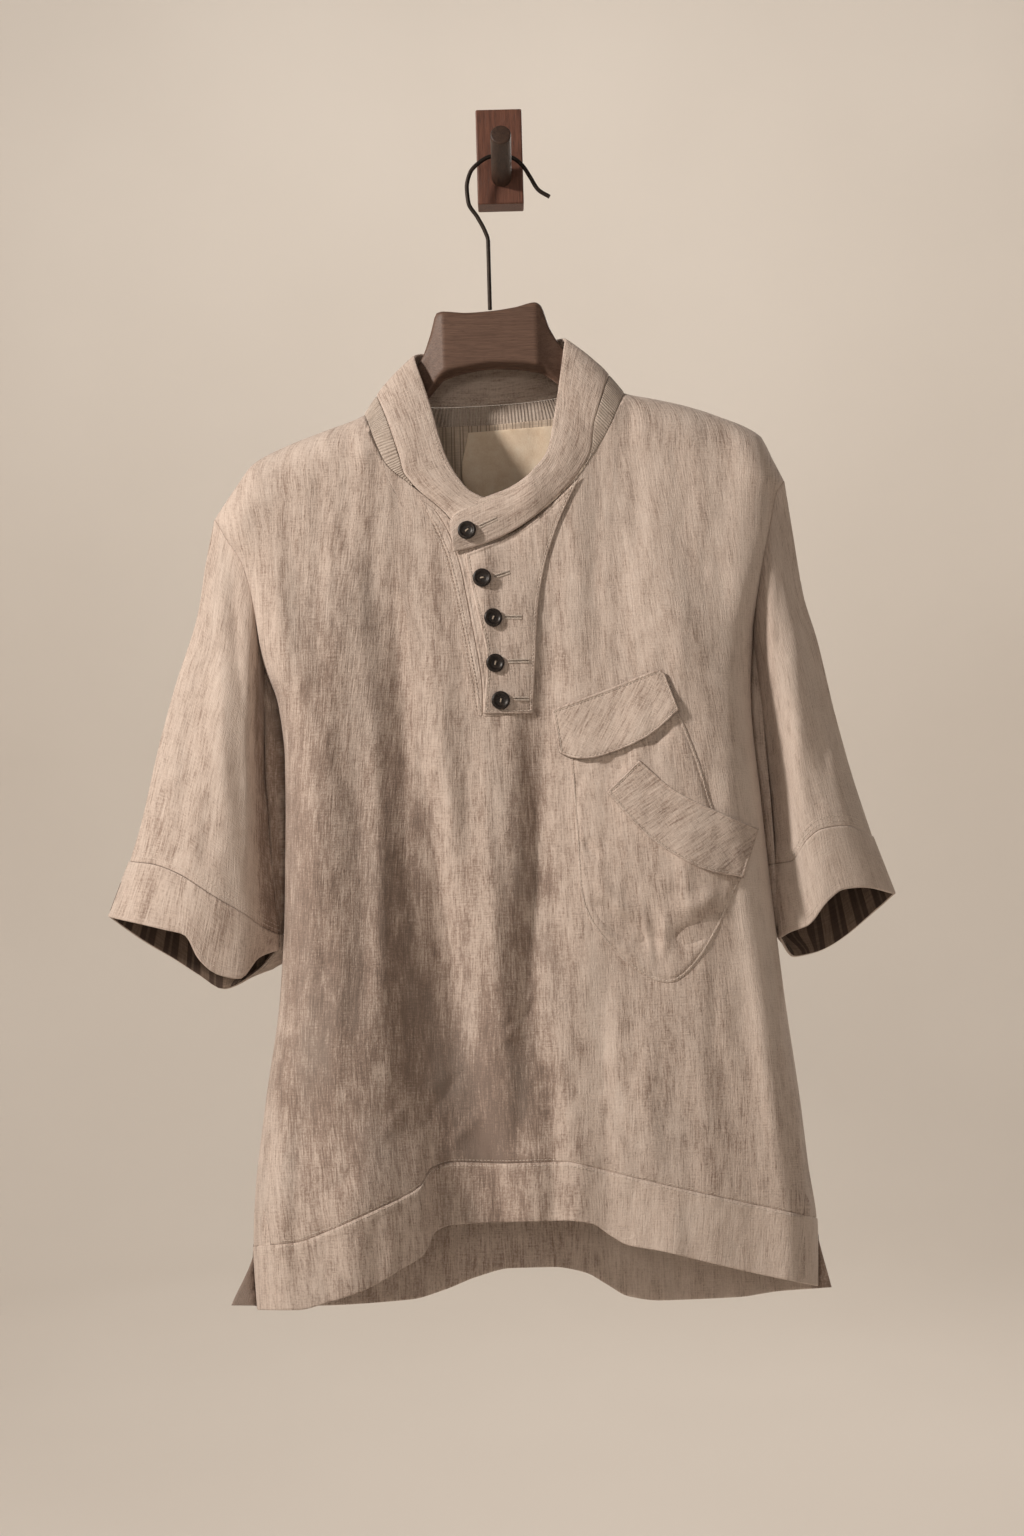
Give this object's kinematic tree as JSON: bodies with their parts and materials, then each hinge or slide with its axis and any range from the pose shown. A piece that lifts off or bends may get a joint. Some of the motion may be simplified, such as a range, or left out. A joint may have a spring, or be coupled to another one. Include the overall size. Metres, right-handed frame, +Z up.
{
  "type": "woven band-collar pullover shirt with a flapped chest pocket on a wooden hanger and wall peg",
  "caption": "Short-sleeved woven pullover shirt with a band collar, curved button placket and flapped chest pocket, hanging open and hollow on a wooden hanger from a wall peg.",
  "frame": {"origin": "centre of the wall block's back face, which lies flat on the wall", "axes": "+Z up, +Y into the wall, +X to the right as the shirt's front is seen"},
  "size_m": [0.6385, 0.1253, 0.986],
  "materials": {
    "linen": "matte slubbed plain weave, warm greige with brown and grey-green mottling",
    "ribbed_linen": "the same linen in fine crosswise ribs",
    "striped_facing": "matte twill with dark brown stripes",
    "label_cloth": "smooth woven tan label, bare",
    "horn": "satin dark horn with pale streaks",
    "walnut": "satin oiled walnut, grain along the hanger",
    "block_wood": "reddish brown, satin, grain upright",
    "peg_wood": "grey-brown turned wood, satin",
    "bronze_wire": "dark bronzed wire, satin"
  },
  "bodies": {
    "root": {"back": "linen", "back_yoke": "striped_facing", "button_1": "horn", "button_2": "horn", "button_3": "horn", "button_4": "horn", "button_5": "horn", "collar_band": "linen", "collar_stand": "ribbed_linen", "cuff_facing_left": "striped_facing", "cuff_facing_right": "striped_facing", "cuff_left": "linen", "cuff_right": "linen", "front": "linen", "hanger_body": "walnut", "hanger_hook": "bronze_wire", "hem_back": "linen", "hem_front": "linen", "neck_label": "label_cloth", "placket_facing": "linen", "placket_over": "linen", "placket_under": "linen", "pocket_bag": "linen", "pocket_flap_lower": "linen", "pocket_flap_upper": "linen", "sleeve_left": "linen", "sleeve_right": "linen", "vent_strip_left": "linen", "vent_strip_right": "linen", "wall_block": "block_wood", "wall_peg": "peg_wood"}
  },
  "joints": []
}
